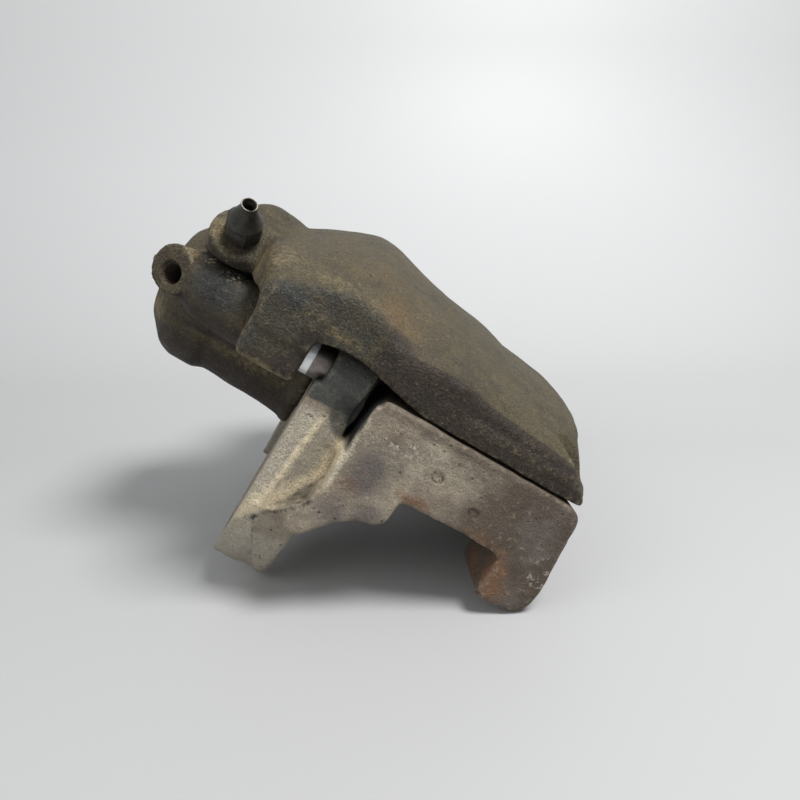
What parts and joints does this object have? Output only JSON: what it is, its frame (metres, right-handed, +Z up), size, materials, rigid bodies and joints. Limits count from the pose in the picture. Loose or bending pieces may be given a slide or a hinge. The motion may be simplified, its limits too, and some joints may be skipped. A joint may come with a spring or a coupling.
{
  "type": "disc brake caliper",
  "caption": "Floating single-piston disc brake caliper: cast housing with hose port and bleed screw, carrier bracket with guide pins, pads inside, no disc.",
  "frame": {"origin": "middle of the footprint box, on the flat surface the caliper stands on", "axes": "+Z up, +Y along the disc's rim away from the side with the hose port and bleed screw, +X towards the outboard side. The guide pins lean 31.5 degrees down towards +X, because the caliper stands on its two mounting lugs and two outboard feet."},
  "size_m": [0.1958, 0.196, 0.1536],
  "materials": {
    "bracket_iron": "rough sand casting, browned",
    "housing_iron": "rough sand casting, dark olive brown",
    "pin_chrome": "polished, dulled by wear",
    "stainless_sheet": "plain sheet",
    "black_rubber": "matt",
    "cap_plastic": "matt moulding",
    "spring_steel": "satin",
    "pad_steel": "matt black paint",
    "friction_lining": "coarse compressed grain",
    "piston_steel": "ground",
    "bleed_steel": "dark, oily"
  },
  "bodies": {
    "bracket": {"carrier_bracket": "bracket_iron", "guide_pin_upper": "pin_chrome", "guide_pin_lower": "pin_chrome", "pad_clip_inner_upper": "stainless_sheet", "pad_clip_inner_lower": "stainless_sheet", "pad_clip_outer_upper": "stainless_sheet", "pad_clip_outer_lower": "stainless_sheet"},
    "caliper": {"caliper_cylinder": "housing_iron", "caliper_bridge": "housing_iron", "caliper_fist": "housing_iron", "guide_bush_upper": "black_rubber", "guide_bush_lower": "black_rubber", "guide_cap_upper": "cap_plastic", "guide_cap_lower": "cap_plastic", "piston_seal": "black_rubber", "boot_ring": "spring_steel", "dust_boot": "black_rubber", "outer_pad_plate": "pad_steel", "outer_pad_lining": "friction_lining", "outer_pad_shim": "stainless_sheet"},
    "piston": {"piston": "piston_steel", "piston_clip": "spring_steel", "inner_pad_shim": "stainless_sheet", "inner_pad_plate": "pad_steel", "inner_pad_lining": "friction_lining"},
    "bleed_screw": {"bleed_screw": "bleed_steel"}
  },
  "joints": [
    {"name": "caliper_slide", "type": "slide", "parent": "bracket", "child": "caliper", "axis": [0.8526, 0, -0.5225], "range_m": [-0.008, 0.006]},
    {"name": "piston_slide", "type": "slide", "parent": "caliper", "child": "piston", "axis": [0.8526, 0, -0.5225], "range_m": [-0.008, 0.012], "deforming": ["dust_boot"]},
    {"name": "bleed_screw_turn", "type": "hinge", "parent": "caliper", "child": "bleed_screw", "pos_m": [-0.03973, -0.062, 0.15071], "axis": [0.3359, -0.766, 0.5481], "range_deg": [0, 180]}
  ]
}
